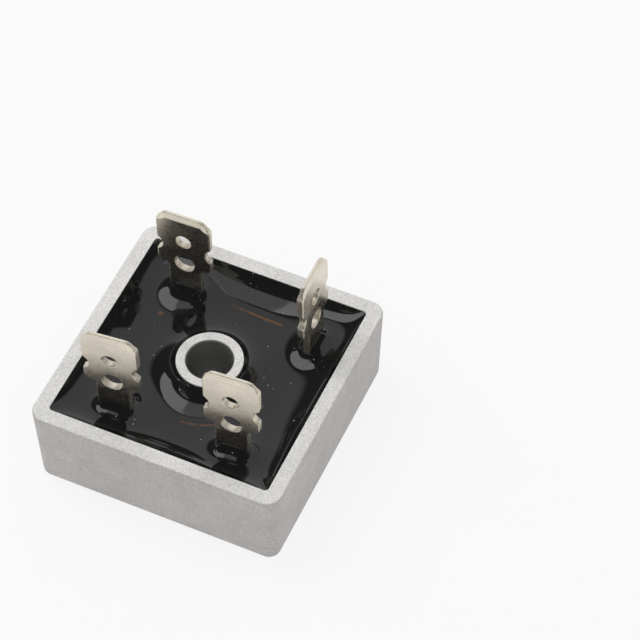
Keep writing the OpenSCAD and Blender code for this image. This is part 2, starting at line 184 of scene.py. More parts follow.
class ResinSettings(bpy.types.PropertyGroup):
    """Finish and climbs of the resin, and where the board shows through it"""

    colour: colour("Resin", "Colour of the cast resin", (0.006, 0.006, 0.0066))
    dust: colour("Dust", "Colour of the dust specks", (0.55, 0.55, 0.53))
    board: colour("Board", "Colour of the board's edges under thin resin", (0.115, 0.046, 0.008))
    roughness: share("Roughness", "Roughness of the resin's skin", 0.035)
    over_board: length("Level", "Resin's flat surface above the board", 0.2)
    wall_climb: length("Wall climb", "Height of the climb up the cavity walls", 1.8)
    hub_climb: length("Hub climb", "Height of the climb up the hub", 1.85)
    skirt: length("Skirt", "Width of the straight skirt on both faces of a blade", 0.5)
    skirt_short: length("Skirt ends", "Skirt's middle ends this far inside the blade's sides", 0.85)
    skirt_climb: length("Skirt climb", "Height of the skirt's outer edge", 1.3)
    blade_climb: length("Blade climb", "Height of the climb up the blades", 1.7)
    reach: length("Reach", "Capillary length, over which a climb fades", 1.9)
    swell: length("Swell", "Height of the slow waves over the flat surface", 0.006)
    cell: length("Cell", "Distance between the points at which the surface is settled", 0.1)
    rounds: IntProperty(name="Rounds", description="Rounds of settling", default=260)
    across: IntProperty(name="Lines round", description="Lines of the surface round the cavity", default=600)
    along: IntProperty(name="Lines out", description="Lines from the hub to the walls", default=140)
    board_hole: length("Board hole", "Radius of the board's round opening", 7.4)
    board_edge: length("Board edge", "Half the width of the board's edge as it shows", 0.2)
    front_x: length("Front middle", "Middle of the stretch of the round opening that shows", 2.0)
    front_half: length("Front half", "Half the length of that stretch", 2.0)
    notch_x: length("Notch middle", "Middle of the board's back filling notch", 1.6)
    notch_y: length("Notch edge", "Edge of the board's back filling notch", 8.55)
    notch_half: length("Notch half", "Half the width of the filling notch", 3.3)
    slot_x: length("Slot across", "Corner of a blade's slot in the board, across", -8.2)
    slot_y: length("Slot back", "Corner of a blade's slot in the board, back", 4.6)
    slot_spot: length("Slot spot", "Radius of the slot's corner as it shows", 0.45)


class StudioSettings(bpy.types.PropertyGroup):
    """Camera, lamps, room and floor"""

    azimuth: angle("Azimuth", "Camera's turn round the part from the front", 24.915)
    elevation: angle("Elevation", "Camera's angle above the floor", 52.65)
    roll: angle("Roll", "Camera's roll about its own line of sight", -0.5935)
    distance: length("Distance", "Camera's distance from the point it aims at", 314.85)
    aim_x: length("Aim X", "Point on the floor that the camera aims at, across", 4.942)
    aim_y: length("Aim Y", "Point on the floor that the camera aims at, back", 17.288)
    lens: FloatProperty(
        name="Lens", description="Focal length on a 36 mm sensor", default=157.65, unit="CAMERA"
    )
    key_place: lengths("Key place", "Middle of the key softbox over the left", (-617.5, 60, 700))
    key_size: lengths("Key size", "Width and depth of the key softbox", (795, 365))
    key_level: brightness("Key", "Brightness of the key softbox", 2.9)
    edge_place: lengths("Edge place", "Middle of the key softbox's dim right edge", (-140, 60, 700))
    edge_size: lengths("Edge size", "Width and depth of the dim right edge", (160, 365))
    edge_level: brightness("Edge", "Brightness of the dim right edge", 1.25)
    room: brightness("Room", "Brightness of the dim room as gloss shows it", 0.14)
    backdrop: brightness("Backdrop", "Brightness of the backdrop behind", 1.0)
    overhead: brightness("Overhead", "Soft light on dull surfaces from overhead", 0.9)
    level: brightness("Sides", "Soft light on dull surfaces from the sides", 0.25)
    floor: colour("Floor", "Colour of the floor", (0.76, 0.76, 0.76))
    white: share("White", "Share of white in the floor as it is seen", 0.85)


# ---- shader maths ----


class Tree:
    """A node tree that is filled through one method for every kind of node."""

    def __init__(self, block):
        block.use_nodes = True
        self.tree = block.node_tree
        self.tree.nodes.clear()

    def add(self, kind, settings=None, output=0, **inputs):
        """Adds a node: its settings first, then the values or links of its sockets. A socket goes by its
        name with _ for a space, or by its place, with i0 for the first. Returns the chosen output."""
        node = self.tree.nodes.new(kind)
        for name, value in (settings or {}).items():
            setattr(node, name, value)
        for name, value in inputs.items():
            index = int(name[1:]) if name[0] == "i" and name[1:].isdigit() else name.replace("_", " ")
            socket = node.inputs[index]
            if isinstance(value, Socket):
                self.tree.links.new(value.socket, socket)
            elif socket.type == "RGBA":
                socket.default_value = (*value[:3], 1)
            else:
                socket.default_value = value
        return Socket(self, node.outputs[output]) if node.outputs else None

    def mix(self, factor, first, second):
        """First colour where the factor is 0 and second where it is 1."""
        return self.add("ShaderNodeMix", {"data_type": "RGBA"}, 2, i0=factor, i6=first, i7=second)

    def noise(self, point, per_metre, detail=2.0, roughness=0.5):
        """Noise from 0 to 1, with so many grains per metre."""
        return self.add(
            "ShaderNodeTexNoise", None, 0, Vector=point, Scale=per_metre, Detail=detail, Roughness=roughness
        )

    def bump(self, height, distance, strength=1.0, normal=None):
        """Normal of a surface raised by the height times the distance in metres."""
        sockets = {"Strength": strength, "Distance": distance, "Height": height}
        if normal:
            sockets["Normal"] = normal
        return self.add("ShaderNodeBump", None, 0, **sockets)


class Socket:
    """A node's output. Sums, products and comparisons of it add Math nodes to its tree."""

    def __init__(self, tree, socket):
        self.tree, self.socket = tree, socket

    def math(self, operation, first, second=0.0):
        return self.tree.add("ShaderNodeMath", {"operation": operation}, 0, i0=first, i1=second)

    def __add__(self, other):
        return self.math("ADD", self, other)

    __radd__ = __add__

    def __sub__(self, other):
        return self.math("SUBTRACT", self, other)

    def __rsub__(self, other):
        return self.math("SUBTRACT", other, self)

    def __mul__(self, other):
        return self.math("MULTIPLY", self, other)

    __rmul__ = __mul__

    def __abs__(self):
        return self.math("ABSOLUTE", self)

    def __gt__(self, other):
        return self.math("GREATER_THAN", self, other)

    def __lt__(self, other):
        return self.math("LESS_THAN", self, other)

    def sine(self):
        return self.math("SINE", self)

    def root(self):
        return self.math("SQRT", self)

    def least(self, other):
        return self.math("MINIMUM", self, other)

    def most(self, other):
        return self.math("MAXIMUM", self, other)

    def smooth(self, low, high):
        """0 below low, 1 above high, and a soft step between."""
        steps = {"interpolation_type": "SMOOTHSTEP"}
        return self.tree.add("ShaderNodeMapRange", steps, 0, i0=self, i1=low, i2=high, i3=0, i4=1)

    def swing(self, amount):
        """A noise's distance from its mean, times an amount."""
        return (self - 0.5) * amount

    def part(self, name):
        """One coordinate of a vector: X, Y or Z."""
        return self.tree.add("ShaderNodeSeparateXYZ", None, "XYZ".index(name), i0=self)


def coordinates(tree, kind="Object"):
    """Points of a piece, or with Generated, directions of the world."""
    return tree.add("ShaderNodeTexCoord", None, kind)


def surface(tree, **inputs):
    """Principled surface joined to the material's output."""
    shader = tree.add("ShaderNodeBsdfPrincipled", None, 0, **inputs)
    tree.add("ShaderNodeOutputMaterial", Surface=shader)


def new_material(name):
    """A material and its empty node tree."""
    material = bpy.data.materials.new(name)
    return material, Tree(material)


# ---- materials ----


def polarity_marks(point, look):
    """1 on the marks under the base: a plus by the positive blade and a wave by each blade for alternating
    current. A plus is two crossed bars, and a wave is a band along a sine curve, which swings by a fifth
    of the mark's size each way."""
    x, y = point.part("X"), point.part("Y")
    half, stroke = look.mark / 2, look.stroke / 2
    marks = 0
    for name in ("positive", "ac_left", "ac_right"):
        middle = MOUNTS["latch_hole_" + name]["pos_m"]
        across, up = x - middle[0], y - middle[1]
        if name == "positive":
            line = abs(across).least(abs(up))
        else:
            line = abs(up - (across * (2 * np.pi / look.mark)).sine() * (look.mark / 5))
        marks = marks + (line < stroke) * (abs(across) < half) * (abs(up) < half)
    return marks * (point.part("Z") < BASE_SKIN)


def blasted_aluminium(look):
    """Sand-blasted cast aluminium. Coarse grains, fine grains and slow clouds add up to a shade, which
    runs from a quarter darker to a quarter brighter than the written colour. Near the top that colour goes
    over to the lighter rim colour, painted light on the up-facing rim and hub tops. Inside the bore it is
    painted darker as painted shade, and the base has its marks."""
    material, tree = new_material("blasted_aluminium")
    point = coordinates(tree)
    finer, darker, brighter = 2.7, 0.74, 1.26
    grain = tree.noise(point, per_metre=1 / look.grain, detail=3, roughness=0.7)
    fine = tree.noise(point, per_metre=finer / look.grain, detail=2, roughness=0.6)
    cloud = tree.noise(point, per_metre=260, detail=3, roughness=0.6)
    shade = grain.swing(1.2) + fine.swing(1.1) + cloud.swing(0.45) + 0.5
    x, y, z = [point.part(name) for name in "XYZ"]
    # Painted light: near the top the colour goes over to the lighter rim colour on the up-facing rim and hub
    # tops.
    painted_top_light = z.smooth(*PAINTED_TOP_LIGHT)
    tones = []
    for level in (darker, brighter):
        side, rim = [[min(channel * level, 1) for channel in written] for written in (look.metal, look.rim)]
        tones.append(tree.mix(painted_top_light, side, rim))
    metal = tree.mix(shade.smooth(0.1, 0.9), *tones)
    # Painted shade: inside the bore, below its top edge, the colour goes over to the dark bore colour.
    bore = ((x * x + y * y).root() < BORE_EDGE) * (1 - z.smooth(*BORE_END))
    metal = tree.mix(bore, metal, look.bore)
    metal = tree.mix(polarity_marks(point, look), metal, look.ink)
    rough = cloud.swing(0.12) + look.roughness
    relief = tree.bump(grain + fine * 0.5, distance=0.05 * MM)
    surface(tree, Base_Color=metal, Metallic=look.gloss, Roughness=rough, Normal=relief)
    return material


def nickel_plate(name, look, roughness):
    """Satin nickel over rolled brass: faint stains, fine specks and slightly wavy faces."""
    material, tree = new_material(name)
    point = coordinates(tree)
    darker = 0.86
    stain = tree.noise(point, per_metre=420, detail=4, roughness=0.6)
    speck = tree.noise(point, per_metre=5000)
    wave = tree.noise(point, per_metre=260, detail=1, roughness=0.4)
    stained = [channel * darker for channel in look.metal]
    metal = tree.mix(stain.smooth(0.35, 0.7), stained, look.metal)
    rough = stain.swing(0.12) + speck.swing(0.1) + roughness
    waves = tree.bump(wave, distance=0.1 * MM, strength=0.6)
    relief = tree.bump(speck, distance=0.002 * MM, strength=0.4, normal=waves)
    surface(tree, Base_Color=metal, Metallic=0.98, Roughness=rough, Normal=relief)
    return material


def board_edges(tree, point, look):
    """1 where the board's edges shine through: part of its round opening in front, its slightly slanting
    back notch and the corner of a slot. Each has a full core and fades with the distance from its line or
    middle."""
    x, y = point.part("X"), point.part("Y")
    slant, edge_core, end_core, spot_core = 0.05, 0.2, 0.8, 0.3
    edge = edge_core * look.board_edge, look.board_edge
    front = 1 - abs((x * x + y * y).root() - look.board_hole).smooth(*edge)
    front = front * (y < 0) * (1 - abs(x - look.front_x).smooth(end_core * look.front_half, look.front_half))
    back = 1 - abs(y - look.notch_y + (x - look.notch_x) * slant).smooth(*edge)
    back = back * (1 - abs(x - look.notch_x).smooth(end_core * look.notch_half, look.notch_half))
    across, along = x - look.slot_x, y - look.slot_y
    slot = 1 - (across * across + along * along).root().smooth(spot_core * look.slot_spot, look.slot_spot)
    patches = tree.noise(point, per_metre=900, detail=2, roughness=0.6)
    return (front + back + slot).least(1.0) * patches.smooth(0.2, 0.6)


def black_resin(look):
    """Glossy black resin with dust specks, and the board's brown edges showing where they come near. A
    speck lies in the middle of every second cell or so. Its radius goes with the square of a chance, so
    most specks are small. Specks and smudges are rougher."""
    material, tree = new_material("black_resin")
    point = coordinates(tree)
    cells_per_metre, empty_cells, least, more = 1500, 0.5, 0.03, 0.07
    dusty, smudged = 0.5, 0.03
    distance, chance = [
        tree.add("ShaderNodeTexVoronoi", None, output, Vector=point, Scale=cells_per_metre)
        for output in ("Distance", "Color")
    ]
    red, green = [tree.add("ShaderNodeSeparateColor", None, channel, i0=chance) for channel in (0, 1)]
    speck = (distance < green * green * more + least) * (red > empty_cells)
    smudge = tree.noise(point, per_metre=330, detail=3, roughness=0.6)
    ripple = tree.noise(point, per_metre=700)
    deep = tree.mix(board_edges(tree, point, look), look.colour, look.board)
    skin = tree.mix(speck, deep, look.dust)
    rough = speck * dusty + smudge * smudged + look.roughness
    relief = tree.bump(ripple, distance=0.01 * MM, strength=0.25)
    surface(tree, Base_Color=skin, Roughness=rough, IOR=1.46, Normal=relief)
    return material


def plain_finish(name, shade, metallic, roughness):
    """Simple finish of a piece inside the resin: colour, roughness and height vary with fine noise."""
    material, tree = new_material(name)
    grain, darker = 0.3 * MM, 0.8
    vary = tree.noise(coordinates(tree), per_metre=1 / grain, detail=3)
    dull = [channel * darker for channel in shade]
    surface(
        tree,
        Base_Color=tree.mix(vary, dull, shade),
        Metallic=metallic,
        Roughness=vary.swing(0.2) + roughness,
        Normal=tree.bump(vary, distance=0.01 * MM, strength=0.4),
    )
    return material


# ---- meshes ----


def grid_faces(rows, columns, wrap_rows=False, wrap_columns=False):
    """Quads between neighbouring points of a grid; a wrapped direction joins its last line to its first."""
    row = np.arange(rows if wrap_rows else rows - 1)[:, None]
    column = np.arange(columns if wrap_columns else columns - 1)[None, :]
    next_row, next_column = (row + 1) % rows, (column + 1) % columns
    corners = [
        row * columns + column,
        row * columns + next_column,
        next_row * columns + next_column,
        next_row * columns + column,
    ]
    return np.stack(corners, -1).reshape(-1, 4)


def new_piece(name, points, faces, material, replaced):
    """A smooth closed piece from points and faces, merged where they meet, that stands for CAD nodes."""
    mesh = bpy.data.meshes.new(name)
    mesh.from_pydata(points.reshape(-1, 3).tolist(), [], faces)
    work = bmesh.new()
    work.from_mesh(mesh)
    bmesh.ops.remove_doubles(work, verts=work.verts, dist=1e-7)
    bmesh.ops.recalc_face_normals(work, faces=work.faces)
    work.to_mesh(mesh)
    work.free()
    mesh.shade_smooth()
    mesh.materials.append(material)
    piece = bpy.data.objects.new(name, mesh)
    bpy.context.scene.collection.objects.link(piece)
    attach(piece, "root")
    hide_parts(*replaced)
    return piece


def set_material(node, material):
    """Gives a CAD node its finish."""
    slots = NODES[node].data.materials
    slots.clear()
    slots.append(material)


# ---- blades ----


def arc(centre, radius, start, end, count=12):
    """Points on a circle from one angle to another, in degrees."""
    turn = np.radians(np.linspace(start, end, count))
    return np.stack([centre[0] + radius * np.cos(turn), centre[1] + radius * np.sin(turn)], 1)


def even_path(points, step):
    """The same path with its points a step apart, and its corners eased by averaging neighbours."""
    easings = 4
    run = np.concatenate([[0], np.cumsum(np.linalg.norm(np.diff(points, axis=0), axis=1))])
    count = int(round(run[-1] / step)) + 1
    at = np.linspace(0, run[-1], count)
    path = np.stack([np.interp(at, run, points[:, 0]), np.interp(at, run, points[:, 1])], 1)
    for _ in range(easings):
        path[1:-1] = path[1:-1] * 0.5 + (path[:-2] + path[2:]) * 0.25
    return path


def outward(path, closed):
    """Unit normals to the right of a path's direction, from the chord between each point's neighbours."""
    if closed:
        chord = np.roll(path, -1, 0) - np.roll(path, 1, 0)
    else:
        chord = np.gradient(path, axis=0)
    chord /= np.linalg.norm(chord, axis=1, keepdims=True)
    return np.stack([chord[:, 1], -chord[:, 0]], 1)


def head_outline(look, low):
    """Outline of a blade's head, anticlockwise from the right of the shank at a height to the left of it.
    Heights are measured from the tip, so the shoulders lie at minus the shoulder length."""
    notch_points = 20
    half, neck = look.width / 2, look.shank / 2
    base = -look.shoulder
    notch_x = half + look.notch_radius - look.notch_depth
    reach = np.degrees(np.arccos((notch_x - half) / look.notch_radius))
    eased = look.corner_round
    slope = np.degrees(np.arctan2(look.corner_across, look.corner_along))
    low_run = eased * np.tan(np.radians(slope / 2))
    top_run = eased * np.tan(np.radians(45 - slope / 2))
    right = np.vstack([
        [[neck, low], [neck, base - look.neck_round]],
        arc((neck + look.neck_round, base - look.neck_round), look.neck_round, 180, 90),
        arc((half - look.shoulder_round, base + look.shoulder_round), look.shoulder_round, -90, 0),
        arc((notch_x, -look.notch_below), look.notch_radius, 180 + reach, 180 - reach, notch_points),
        arc((half - eased, -look.corner_along - low_run), eased, 0, slope),
        arc((half - look.corner_across - top_run, -eased), eased, slope, 90),
    ])
    left = right[::-1] * (-1, 1)
    return even_path(np.vstack([right, left]), look.outline_step)


def fitting_inset(path, normals, wish):
    """The wished inset, held to a share of the path's own radius where the path bends outwards, so that
    rings set in from it don't cross. Each point then takes the least inset of its neighbours and its own,
    a few times over, and the insets are averaged along the path."""
    of_radius, spreads, averages = 0.8, 3, 8
    heading = np.unwrap(np.arctan2(normals[:, 1], normals[:, 0]))
    bend = np.gradient(heading) / np.linalg.norm(np.gradient(path, axis=0), axis=1)
    inset = np.minimum(wish, of_radius / np.maximum(bend, 1))
    for _ in range(spreads):
        padded = np.pad(inset, 1, mode="edge")
        inset = np.minimum(np.minimum(padded[:-2], padded[2:]), inset)
    for _ in range(averages):
        padded = np.pad(inset, 1, mode="edge")
        inset = (padded[:-2] + 2 * inset + padded[2:]) / 4
    return inset


def edge_profile(wide, deep, groove, thick):
    """Section through the edge of the sheet, from its front face to its back face: a narrow flat border,
    two bevels with a shallow groove between them, and a border again. Each corner becomes a quadratic
    curve that starts and ends just short of the middle of the shorter of its sides. Widths and depths may
    change along the outline. Returns insets and depths, one row for each point of the outline."""
    border, short_of_middle, curve_points = 1.18, 0.48, 5
    none = np.zeros_like(wide)
    guard = wide * border
    corners = np.stack([
        np.stack([guard, wide, none, groove, none, wide, guard], 1),
        np.stack([none, none, deep, thick / 2 + none, thick - deep, thick + none, thick + none], 1),
    ], -1)
    rows = [corners[:, :1]]
    step = np.linspace(0, 1, curve_points)[None, :, None]
    for corner in range(1, 6):
        here = corners[:, corner:corner + 1]
        back, on = corners[:, corner - 1:corner] - here, corners[:, corner + 1:corner + 2] - here
        back_run, on_run = [np.linalg.norm(side, axis=2, keepdims=True) for side in (back, on)]
        soft = short_of_middle * np.minimum(back_run, on_run)
        start, end = here + back / back_run * soft, here + on / on_run * soft
        rows.append(start * (1 - step) ** 2 + here * 2 * step * (1 - step) + end * step ** 2)
    rows.append(corners[:, -1:])
    section = np.concatenate(rows, 1)
    return section[..., 0], section[..., 1]


def edge_band(path, normals, wide, deep, groove, thick):
    """The edge's section carried along a path: every point moves in from the path by its inset."""
    inset, depth = edge_profile(wide, deep, groove, thick)
    across = path[:, None, 0] - normals[:, None, 0] * inset
    up = path[:, None, 1] - normals[:, None, 1] * inset
    return np.stack([across, depth - thick / 2, up], -1)


def fold(points, corner, radius):
    """Bends the flat blank below a height through a right angle. The arc along the middle of the sheet is
    as long as the blank there, and what is left runs on as the foot."""
    across, out, up = points[..., 0], points[..., 1], points[..., 2]
    run = np.clip(corner - up, 0, None)
    turn = np.clip(run / radius, 0, np.pi / 2)
    straight = run - turn * radius
    ring = radius - out
    folded_out = radius - ring * np.cos(turn) + straight
    folded_up = np.where(up > corner, up, corner - ring * np.sin(turn))
    folded_out = np.where(up > corner, out, folded_out)
    return np.stack([across, folded_out, folded_up], -1)


def head_band(look, low):
    """Edge of the head and of the top of its shank, from a height up. The bevels grow from the sides' to
    the tip's as the outline turns upwards, by a soft step."""
    turn_starts, turn_takes, tip_reach = 0.15, 0.75, 1.2
    path = head_outline(look, low)
    normals = outward(path, False)
    normals[[0, -1]] = [[1, 0], [-1, 0]]
    at_tip = np.clip((normals[:, 1] - turn_starts) / turn_takes, 0, 1)
    at_tip = at_tip * (path[:, 1] > -look.corner_along * tip_reach)
    at_tip = at_tip * at_tip * (3 - 2 * at_tip)
    wish = look.side_bevel + (look.tip_bevel - look.side_bevel) * at_tip
    wide = fitting_inset(path, normals, wish)
    deep = (look.side_bevel + (look.tip_bevel_depth - look.side_bevel) * at_tip) * wide / wish
    return edge_band(path, normals, wide, deep, look.groove * (1 - at_tip), look.thickness)


def hole_band(look, height, mount):
    """Edge of a round hole, rolled over on both faces."""
    points_round, roll_depth = 72, 0.6
    circle = arc((0, height), MOUNTS[mount]["dims"]["r_mm"] * MM, 360, 0, points_round + 1)[:-1]
    roll = np.full(len(circle), look.hole_bevel)
    return edge_band(circle, outward(circle, True), roll, roll * roll_depth, roll * 0, look.thickness)


def flat_faces(bands, starts):
    """Triangles that fill the front face and the back face of the sheet between its bands of edge."""
    faces = []
    for side in (0, -1):
        index = np.concatenate([
            start + np.arange(len(band)) * band.shape[1] + side % band.shape[1]
            for start, band in zip(starts, bands)
        ])
        outlines = [[Vector((x, z, 0)) for x, _, z in band[:, side]] for band in bands]
        faces += [[int(index[corner]) for corner in triangle] for triangle in tessellate_polygon(outlines)]
    return faces


def blade_points(look, foot_z):
    """All points and faces of one blade in its own frame: across, out through the sheet, and up from the
    latch hole's centre. Bands edge the head and its two holes, and flat faces close the sheet between
    them. The shank is the section at the head's end carried down, folded into the foot and closed there."""
    fold_steps = 8
    thick = look.thickness
    join = -look.shoulder - 2 * look.neck_round
    bands = [
        head_band(look, join),
        hole_band(look, -look.tip, "latch_hole_negative"),
        hole_band(look, -look.tip - HOLE_PITCH, "wire_hole_negative"),
    ]
    ring = np.vstack([bands[0][0], bands[0][-1][::-1]])
    corner = foot_z + thick + look.bend - look.tip
    bend = look.bend + thick / 2
    fold_end = corner - bend * np.pi / 2
    foot_end = fold_end - (look.foot - look.bend)
    levels = np.concatenate([[join], np.linspace(corner, fold_end, fold_steps + 1), [foot_end]])
    shank = np.broadcast_to(ring, (len(levels), *ring.shape)).copy()
    shank[..., 2] = levels[:, None]
    grids = bands + [shank]
    starts = np.cumsum([0] + [grid.shape[0] * grid.shape[1] for grid in grids]).tolist()
    faces = grid_faces(*bands[0].shape[:2]).tolist()
    for band, start in zip(bands[1:], starts[1:]):
        faces += (grid_faces(*band.shape[:2], wrap_rows=True) + start).tolist()
    faces += flat_faces(bands, starts)
    faces += (grid_faces(*shank.shape[:2], wrap_columns=True) + starts[-2]).tolist()
    faces.append(list(range(starts[-1] - len(ring), starts[-1])))
    folded = fold(np.vstack([grid.reshape(-1, 3) for grid in grids]), corner, bend)
    folded[:, 2] += look.tip
    return folded, faces


def finish_edges(mesh, out, material):
    """Gives a second finish to the faces that run through the sheet: those whose normal leans well away
    from the sheet's outward axis, so that its part along the axis is small."""
    most_along = 0.8
    normals = np.empty(3 * len(mesh.polygons))
    mesh.polygons.foreach_get("normal", normals)
    mesh.materials.append(material)
    through = np.abs(normals.reshape(-1, 3) @ out) < most_along
    mesh.polygons.foreach_set("material_index", through.astype(np.int32))


def blade_frame(name):
    """Where a blade stands: its axes across, outwards and up, and the centre of its latch hole."""
    latch, wire = MOUNTS["latch_hole_" + name], MOUNTS["wire_hole_" + name]
    centre = np.array(latch["pos_m"])
    up = centre - np.array(wire["pos_m"])
    up /= np.linalg.norm(up)
    out = np.array(latch["axis"])
    out -= up * (out @ up)
    out /= np.linalg.norm(out)
    return np.stack([np.cross(out, up), out, up]), centre


# ---- resin ----


def rounded_square(half, corner, count):
    """Points evenly spaced by length round a square with round corners, anticlockwise."""
    inset = half - corner
    corners = [
        arc((inset * np.sign(x), inset * np.sign(y)), corner, start, start + 90)
        for x, y, start in ((1, 1, 0), (-1, 1, 90), (-1, -1, 180), (1, -1, 270))
    ]
    path = np.vstack(corners + [corners[0][:1]])
    run = np.concatenate([[0], np.cumsum(np.linalg.norm(np.diff(path, axis=0), axis=1))])
    at = np.linspace(0, run[-1], count, endpoint=False)
    return np.stack([np.interp(at, run, path[:, 0]), np.interp(at, run, path[:, 1])], 1)


def settle(height, pull, target, cell, reach, rounds):
    """The surface of a liquid at rest. Its curvature is the height over the square of the capillary
    length, so each point takes the mean of its four neighbours, weighted by one over the length of a
    slanted unit step there, with the flat level weighing the cell over the length, squared, and the
    held height weighing the pull. Even and odd points take turns, each change overshoots, and the
    weights are worked out again every few turns."""
    overshoot, turns_per_weights = 1.9, 20
    odd = np.add.outer(np.arange(height.shape[0]), np.arange(height.shape[1])) % 2 == 1
    inner = np.zeros_like(odd)
    inner[1:-1, 1:-1] = True
    total = 1.0
    for turn in range(2 * rounds):
        if turn % turns_per_weights == 0:
            slope_x, slope_y = np.gradient(height, cell)
            ease = 1 / np.sqrt(1 + slope_x ** 2 + slope_y ** 2)
            before_x, before_y = (ease + np.roll(ease, 1, 0)) / 2, (ease + np.roll(ease, 1, 1)) / 2
            after_x, after_y = np.roll(before_x, -1, 0), np.roll(before_y, -1, 1)
            total = before_x + after_x + before_y + after_y + (cell / reach) ** 2 + pull
        drawn = before_x * np.roll(height, 1, 0) + after_x * np.roll(height, -1, 0)
        drawn += before_y * np.roll(height, 1, 1) + after_y * np.roll(height, -1, 1) + pull * target
        change = overshoot * (drawn / total - height)
        height = height + np.where(inner & (odd == (turn % 2 == 1)), change, 0)
    return height


def sampled(field, start, cell, x, y):
    """Values of a field on a square grid at any points, by the weights of a cubic B-spline each way."""
    total = 0
    u, v = (x - start) / cell, (y - start) / cell
    i, j = np.floor(u).astype(int), np.floor(v).astype(int)
    weights = []
    for part in (u - i, v - j):
        weights.append([
            (1 - part) ** 3 / 6, (3 * part ** 3 - 6 * part ** 2 + 4) / 6,
            (-3 * part ** 3 + 3 * part ** 2 + 3 * part + 1) / 6, part ** 3 / 6,
        ])
    for a in range(4):
        for b in range(4):
            total = total + weights[0][a] * weights[1][b] * field[i + a - 1, j + b - 1]
    return total


def resin_surface(look, half, hub_radius, shanks, shank_half):
    """Height of the resin over its flat level on a square grid: held at its climb along the walls and
    round the hub, and on a sloping skirt round each blade's shank, with softened edges, and settled
    between them. The first guess falls off from each climb by the exponential of the distance over the
    capillary length. Returns the field and the place of its first point."""
    cell, cells_past_walls, hold = look.cell, 4, 50
    count = int(np.ceil(half / cell)) + cells_past_walls
    line = np.arange(-count, count + 1) * cell
    x, y = np.meshgrid(line, line, indexing="ij")
    held = [
        (half - np.maximum(np.abs(x), np.abs(y)), look.wall_climb),
        (np.hypot(x, y) - hub_radius, look.hub_climb),
    ]
    for axes, centre in shanks:
        across, out = [
            np.abs((x - centre[0]) * axis[0] + (y - centre[1]) * axis[1]) - size
            for axis, size in zip(axes[:2], shank_half)
        ]
        outside = np.hypot(np.maximum(across, 0), np.maximum(out, 0))
        rise = np.clip(1 - outside / look.skirt, 0, 1) * (look.blade_climb - look.skirt_climb)
        inside = np.minimum(np.maximum(across, out), 0)
        held.append((outside + inside - look.skirt, look.skirt_climb + rise))
    cover = [np.clip(0.5 - distance / cell, 0, 1) for distance, _ in held]
    pull = hold * sum(cover)
    target = sum(part * climb for part, (_, climb) in zip(cover, held)) / np.maximum(sum(cover), 1e-9)
    guess = sum(climb * np.exp(-np.maximum(distance, 0) / look.reach) for distance, climb in held)
    guess = np.minimum(guess, look.wall_climb)
    return settle(guess, pull, target, cell, look.reach, look.rounds), line[0]


def shank_places(level):
    """Each blade's axes and the point where its middle passes a level."""
    places = []
    for name in BLADES:
        axes, centre = blade_frame(name)
        places.append((axes, centre - axes[2] * (centre[2] - level) / axes[2][2]))
    return places


def resin_points(look, level, shank_half):
    """Closed skin of the resin as one grid that wraps both ways: over the top from the hub to the walls,
    down the walls, back under the stack and up the hub. The lines over the top crowd towards the hub and
    the walls by a sine wave, and three slow waves across it swell the flat surface."""
    crowding, steps = 0.7, 5
    waves = ((0.55, 0.3, 0), (-0.7, 0.42, 1), (0, 0.9, 2))  # radians per mm along X and Y, and a shift
    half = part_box("potting_resin")[1].x
    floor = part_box("insulator")[0].z
    wall = rounded_square(half, WALL_CORNER, look.across)
    hub = wall / np.linalg.norm(wall, axis=1, keepdims=True) * HUB_RADIUS
    t = np.linspace(0, 1, look.along)
    spread = t - crowding * np.sin(2 * np.pi * t) / (2 * np.pi)
    top = hub[:, None] + (wall - hub)[:, None] * spread[None, :, None]
    field, start = resin_surface(look, half, HUB_RADIUS, shank_places(level), shank_half)
    height = sampled(field, start, look.cell, top[..., 0], top[..., 1])
    x, y = top[..., 0] / MM, top[..., 1] / MM
    swell = sum(np.sin(by_x * x + by_y * y + shift) for by_x, by_y, shift in waves)
    height = level + height + look.swell * swell / len(waves)
    top = np.concatenate([top, height[..., None]], -1)
    side = np.repeat(top[:, -1:], steps, 1)
    side[..., 2] += (floor - side[..., 2]) * np.linspace(0, 1, steps + 1)[1:]
    under = np.repeat(top[:, :1], steps, 1)
    under[..., 2] = floor + (top[:, :1, 2] - floor) * np.linspace(0, 1, steps, endpoint=False)
    return np.concatenate([top, side, under], 1)


# ---- stage ----


def place_camera(view):
    """Camera on a sphere round its aim point: back is the unit vector at the azimuth and the elevation,
    right is level and at right angles to it, and the roll turns right and up about it."""
    azimuth, elevation, roll = view.azimuth, view.elevation, view.roll
    back = Vector((
        np.sin(azimuth) * np.cos(elevation), -np.cos(azimuth) * np.cos(elevation), np.sin(elevation)
    ))
    right = Vector((0, 0, 1)).cross(back).normalized()
    up = back.cross(right)
    turned = right * np.cos(roll) + up * np.sin(roll), up * np.cos(roll) - right * np.sin(roll), back
    data = bpy.data.cameras.new("camera")
    data.lens, data.sensor_width = view.lens, 36
    data.clip_start, data.clip_end = 0.01, 10
    camera = bpy.data.objects.new("camera", data)
    camera.matrix_world = Matrix.Translation(
        Vector((view.aim_x, view.aim_y, 0)) + back * view.distance
    ) @ Matrix(turned).transposed().to_4x4()
    bpy.context.scene.collection.objects.link(camera)
    bpy.context.scene.camera = camera


def background_seen(tree):
    """1 for the rays that show the background: those of the camera and those in gloss and glass."""
    camera = tree.add("ShaderNodeLightPath", None, "Is Camera Ray")
    glossy = tree.add("ShaderNodeLightPath", None, "Is Glossy Ray")
    through = tree.add("ShaderNodeLightPath", None, "Is Transmission Ray")
    return (camera + glossy + through).least(1.0)


